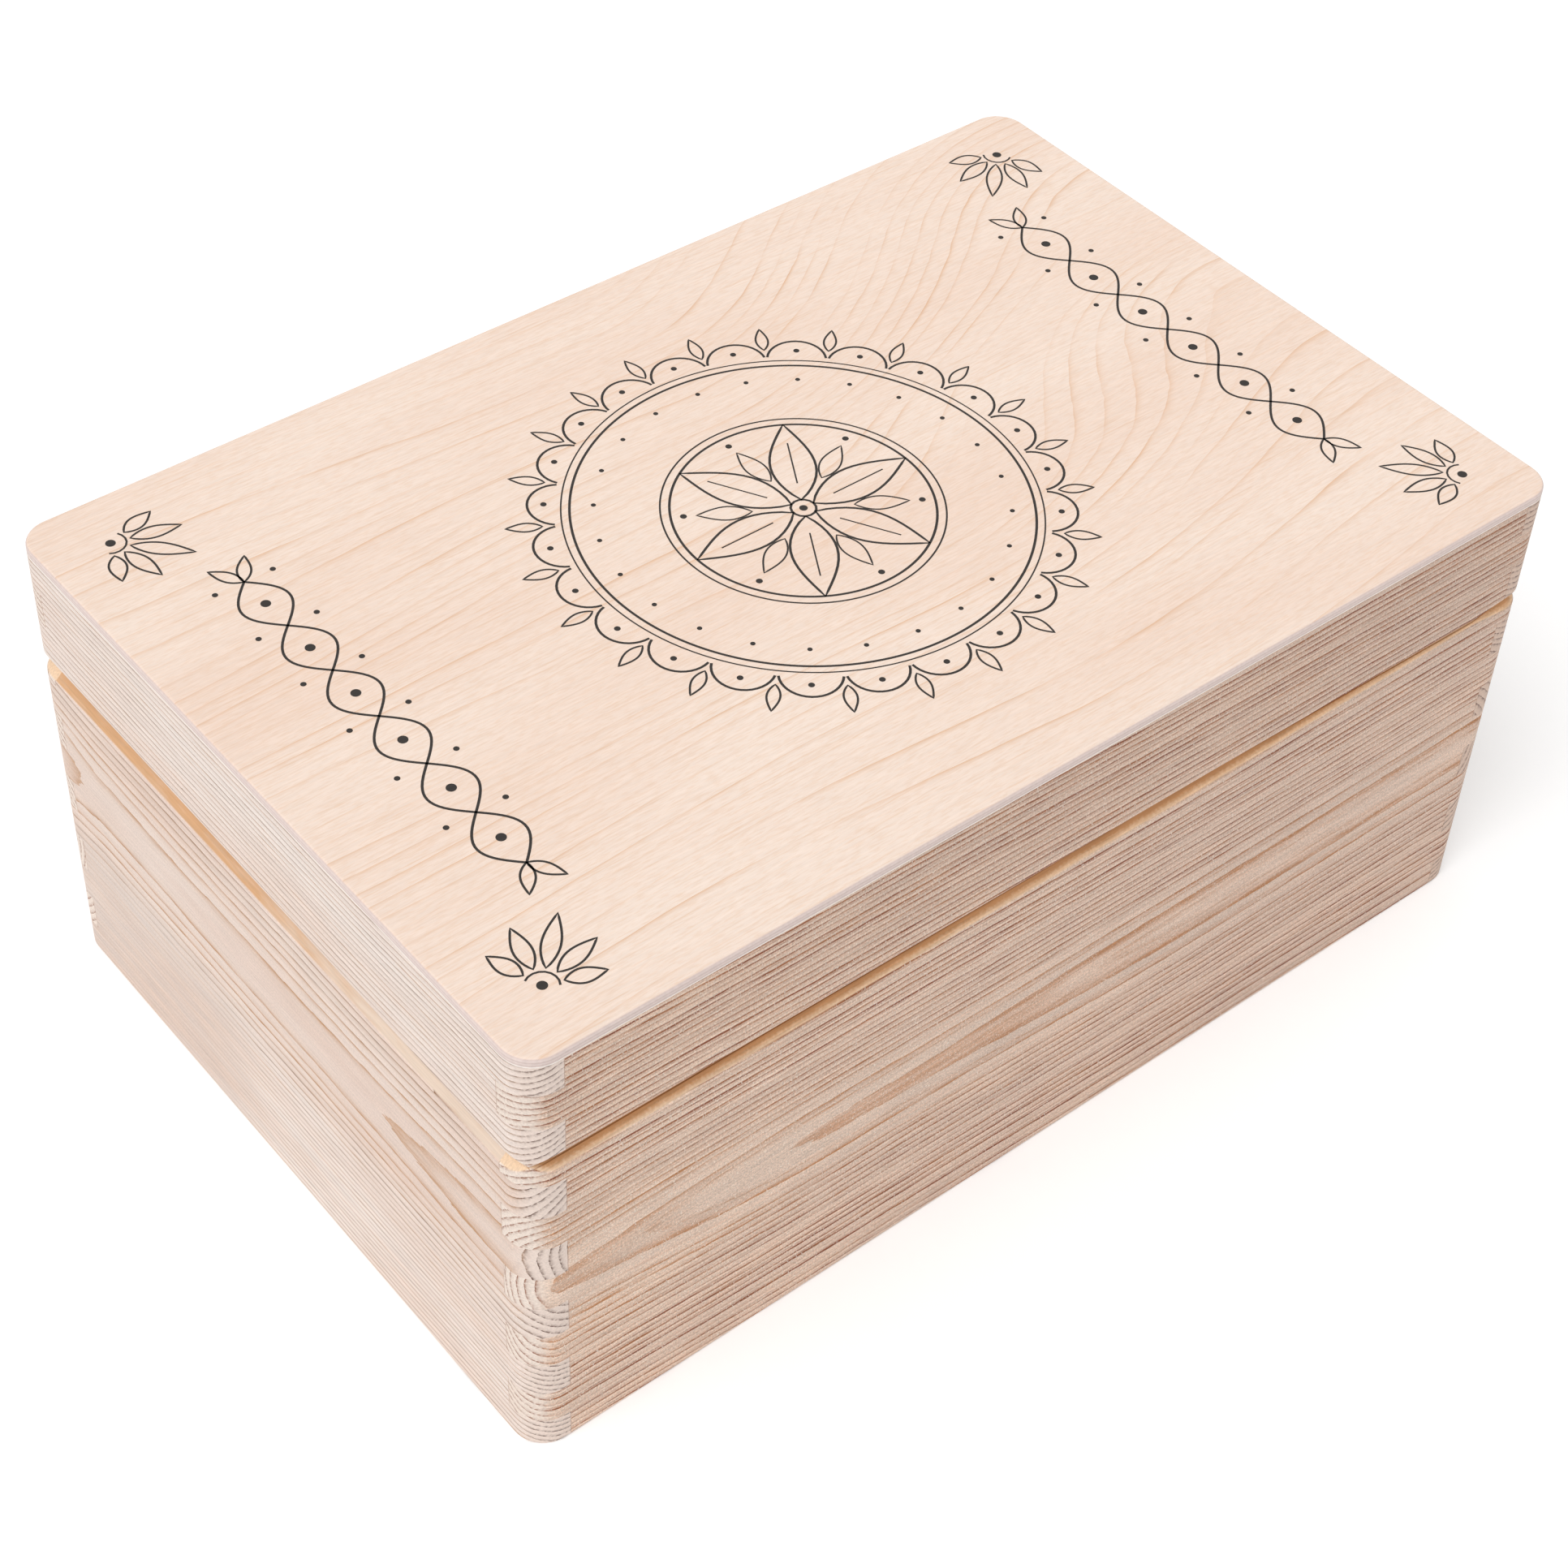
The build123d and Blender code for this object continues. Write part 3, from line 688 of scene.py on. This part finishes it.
cross_recess_screws("base_cross_recess_screws", "base", "base_hinge_screws", SEAM_Z - SEAM_GAP / 2, -1)
cross_recess_screws("lid_cross_recess_screws", "lid", "lid_hinge_screws", SEAM_Z + SEAM_GAP / 2, 1)


def stroke(points, width, taper=0.0):
    """One pen stroke on the lid: its centre line with the width at each point, in mm. A tapered
    stroke starts and ends thin."""
    last = len(points) - 1
    widths = [width * (1 - taper + taper * min(1, 2.2 * sin(pi * step / last))) for step in range(last + 1)]
    return points, widths


def arc(centre, radius, start, end, width):
    """Part of a circle, from one angle to another in degrees."""
    steps = max(6, round(abs(end - start) * radius / 70))
    angles = [radians(start + (end - start) * step / steps) for step in range(steps + 1)]
    return stroke([(centre[0] + radius * cos(a), centre[1] + radius * sin(a)) for a in angles], width)


def petal(root, heading, length, bulge, width):
    """Almond outline that starts at its root and points along its heading in degrees."""
    along = Vector((cos(radians(heading)), sin(radians(heading))))
    across = Vector((-along.y, along.x))
    edge = [(step / 14, bulge * sin(pi * (step / 14) ** 0.85)) for step in range(15)]
    path = edge + [(share, -swell) for share, swell in reversed(edge[:-1])]
    return stroke([tuple(Vector(root) + along * length * share + across * swell) for share, swell in path], width)


def dot(centre, radius):
    """Filled round dot, as one short stroke that swells and narrows again."""
    steps = 10
    shares = [-cos(pi * step / steps) for step in range(steps + 1)]
    points = [(centre[0] + radius * share, centre[1]) for share in shares]
    return points, [2 * radius * max(0.05, (1 - share * share) ** 0.5) for share in shares]


# How far the ink film reaches into the lid and above it, mm
FILM_SUNK = 0.02
FILM_PROUD = 0.03


def printed(name, strokes):
    """Ink film of the strokes, closed all round, a few hundredths of a mm proud of the lid."""
    vertices, faces = [], []
    for points, widths in strokes:
        first = len(vertices)
        last = len(points) - 1
        closed = (Vector(points[0]) - Vector(points[last])).length < 0.01
        for index, (point, width) in enumerate(zip(points, widths)):
            before = points[index - 1] if index else points[-2 if closed else 0]
            after = points[index + 1] if index < last else points[1 if closed else last]
            along = (Vector(after) - Vector(before)).normalized()
            across = Vector((-along.y, along.x)) * width / 2
            for side in (across, -across):
                for height in (HEIGHT - FILM_SUNK, HEIGHT + FILM_PROUD):
                    vertices.append(((point[0] + side.x) * MM, (point[1] + side.y) * MM, height * MM))
        for index in range(last):
            a = first + 4 * index
            b = a + 4
            faces += [(a + 1, a + 3, b + 3, b + 1), (a, b, b + 2, a + 2)]
            faces += [(a, a + 1, b + 1, b), (a + 2, b + 2, b + 3, a + 3)]
        a, b = first, first + 4 * last
        faces += [(a, a + 2, a + 3, a + 1), (b, b + 1, b + 3, b + 2)]
    mesh = bpy.data.meshes.new(name)
    mesh.from_pydata(vertices, [], faces)
    mesh.materials.append(black_ink)
    film = bpy.data.objects.new(name, mesh)
    bpy.context.scene.collection.objects.link(film)
    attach(film, "lid")


def matt_black_ink():
    """Black ink printed straight on the bare wood and set by lamp: matt, with the wood's fibres
    showing through as slightly paler streaks."""
    material, tree, shader = new_material("black_ink")
    place = add(tree, "ShaderNodeTexCoord")
    point = add(
        tree, "ShaderNodeVectorMath", {0: place.outputs["Object"], 1: (120, 1800, 1800)}, operation="MULTIPLY"
    )
    streak = add(tree, "ShaderNodeTexNoise", {"Vector": point, "Scale": 1.0, "Detail": 2.0})
    colour = add(tree, "ShaderNodeMixRGB", {"Fac": streak, "Color1": srgb("#17130F"), "Color2": srgb("#322B26")})
    tree.links.new(colour.outputs[0], shader.inputs["Base Color"])
    shader.inputs["Roughness"].default_value = 0.7
    return material


black_ink = matt_black_ink()

# Width of the printed line, mm
PEN = 0.62

# Six-petalled rosette in the middle, the kind drawn with a pair of compasses
rosette = [arc((0, 0), 31, 0, 360, PEN), arc((0, 0), 33.2, 0, 360, PEN * 0.7)]
rosette += [arc((0, 0), 3, 0, 360, PEN), dot((0, 0), 1)]
for turn in range(0, 360, 60):
    rosette.append(petal((3 * cos(radians(turn)), 3 * sin(radians(turn))), turn, 28, 5.4, PEN))
    spoke = radians(turn)
    rosette.append(stroke([(reach * cos(spoke), reach * sin(spoke)) for reach in (9, 24)], PEN * 0.6))
    middle = radians(turn + 30)
    rosette.append(petal((12 * cos(middle), 12 * sin(middle)), turn + 30, 13, 2.4, PEN * 0.7))
    rosette.append(dot((28 * cos(middle), 28 * sin(middle)), 0.8))
printed("rosette_print", rosette)

# Ring of scallops round it
ring = [arc((0, 0), 54, 0, 360, PEN), arc((0, 0), 56, 0, 360, PEN * 0.6)]
for turn in range(0, 360, 15):
    joint, middle = radians(turn), radians(turn + 7.5)
    ring.append(arc((56.6 * cos(middle), 56.6 * sin(middle)), 7.2, turn - 78, turn + 93, PEN))
    ring.append(dot((60 * cos(middle), 60 * sin(middle)), 0.75))
    ring.append(petal((60.5 * cos(joint), 60.5 * sin(joint)), turn, 8.5, 1.5, PEN * 0.8))
    ring.append(dot((48.5 * cos(middle), 48.5 * sin(middle)), 0.6))
printed("scalloped_ring_print", ring)

# Band along each short side of the lid: two crossing waves with a dot in every eye
for side, name in ((-1, "left_band_print"), (1, "right_band_print")):
    middle = 117 * side
    band = []
    for flip in (-1, 1):
        wave = [(middle + flip * 6 * sin(radians(10 * step)), step - 54) for step in range(0, 109)]
        band.append(stroke(wave, PEN))
        for end in (-1, 1):
            band.append(petal((middle, 54 * end), end * (90 - 32 * flip), 9, 1.6, PEN * 0.85))
    for step in range(6):
        band.append(dot((middle, 18 * step - 45), 1.2))
        for flip in (-1, 1):
            band.append(dot((middle + flip * 7.5, 18 * step - 36), 0.7))
    printed(name, band)

# Fan of petals in every corner
for across in (-1, 1):
    for away in (-1, 1):
        root = Vector((across * 134, away * 83))
        inward = degrees(atan2(-away, -across))
        fan = [dot(tuple(root), 1.2), arc(tuple(root), 3.6, inward - 80, inward + 80, PEN * 0.8)]
        for spread, length in ((-64, 9), (-32, 12), (0, 15), (32, 12), (64, 9)):
            heading = radians(inward + spread)
            start = root + 4.6 * Vector((cos(heading), sin(heading)))
            fan.append(petal(tuple(start), inward + spread, length, 2.0, PEN * 0.85))
        printed("corner_fan_print_" + ("left" if across < 0 else "right") + ("_front" if away < 0 else "_back"), fan)


def white_floor():
    """Plain white table under the box, which keeps its shadow and looks white around it."""
    mesh = bpy.data.meshes.new("table_top")
    reach = 6.0
    corners = [(-reach, -reach, 0), (reach, -reach, 0), (reach, reach, 0), (-reach, reach, 0)]
    mesh.from_pydata(corners, [], [(0, 1, 2, 3)])
    table = bpy.data.objects.new("table_top", mesh)
    bpy.context.scene.collection.objects.link(table)
    material = bpy.data.materials.new("white_paper")
    material.use_nodes = True
    tree = material.node_tree
    tree.nodes.clear()
    paper = add(tree, "ShaderNodeBsdfDiffuse", {"Color": srgb("#F6F6F6")})
    ray = add(tree, "ShaderNodeLightPath")
    seen = add(
        tree,
        "ShaderNodeMath",
        {0: ray.outputs["Is Camera Ray"], 1: ray.outputs["Is Glossy Ray"]},
        operation="MAXIMUM",
    )
    lift = add(tree, "ShaderNodeMath", {0: seen, 1: 0.2}, operation="MULTIPLY")
    glow = add(tree, "ShaderNodeEmission", {"Color": srgb("#FFFFFF"), "Strength": lift})
    both = add(tree, "ShaderNodeAddShader", {0: paper, 1: glow})
    add(tree, "ShaderNodeOutputMaterial", {"Surface": both})
    mesh.materials.append(material)


def studio_light():
    """Even white room with one broad soft light high on the left."""
    world = bpy.data.worlds.new("white_room")
    bpy.context.scene.world = world
    world.use_nodes = True
    tree = world.node_tree
    tree.nodes.clear()
    ray = add(tree, "ShaderNodeLightPath")
    seen = add(
        tree,
        "ShaderNodeMath",
        {0: ray.outputs["Is Camera Ray"], 1: ray.outputs["Is Glossy Ray"]},
        operation="MAXIMUM",
    )
    seen = add(tree, "ShaderNodeMath", {0: seen, 1: ray.outputs["Is Transmission Ray"]}, operation="MAXIMUM")
    strength = add(tree, "ShaderNodeMapRange", {"Value": seen, "To Min": 0.6, "To Max": 1.0})
    background = add(tree, "ShaderNodeBackground", {"Color": srgb("#FFFFFF"), "Strength": strength})
    add(tree, "ShaderNodeOutputWorld", {"Surface": background})

    lamp = bpy.data.lights.new("broad_left_light", "SUN")
    lamp.energy = 1.4
    lamp.angle = radians(35)
    holder = bpy.data.objects.new("broad_left_light", lamp)
    holder.rotation_euler = Vector((-0.52, -0.13, 0.84)).to_track_quat("Z", "Y").to_euler()
    bpy.context.scene.collection.objects.link(holder)


def three_quarter_camera():
    """Camera above the front left corner, slightly rolled."""
    azimuth, elevation, roll = radians(-41.099), radians(44.763), radians(3.084)
    back = Vector((sin(azimuth) * cos(elevation), -cos(azimuth) * cos(elevation), sin(elevation)))
    level_right = Vector((0, 0, 1)).cross(back).normalized()
    level_up = back.cross(level_right)
    right = cos(roll) * level_right + sin(roll) * level_up
    up = cos(roll) * level_up - sin(roll) * level_right
    camera = bpy.data.objects.new("camera", bpy.data.cameras.new("camera"))
    camera.data.lens = 70.942
    camera.data.sensor_width = 36.0
    place = Vector((0, 0, HEIGHT / 2)) + right * -1.988 + up * -17.039 + back * 760.885
    camera.matrix_world = Matrix.Translation(place * MM) @ Matrix((right, up, back)).transposed().to_4x4()
    bpy.context.scene.collection.objects.link(camera)
    bpy.context.scene.camera = camera


white_floor()
studio_light()
three_quarter_camera()
bpy.context.scene.view_settings.view_transform = "Standard"
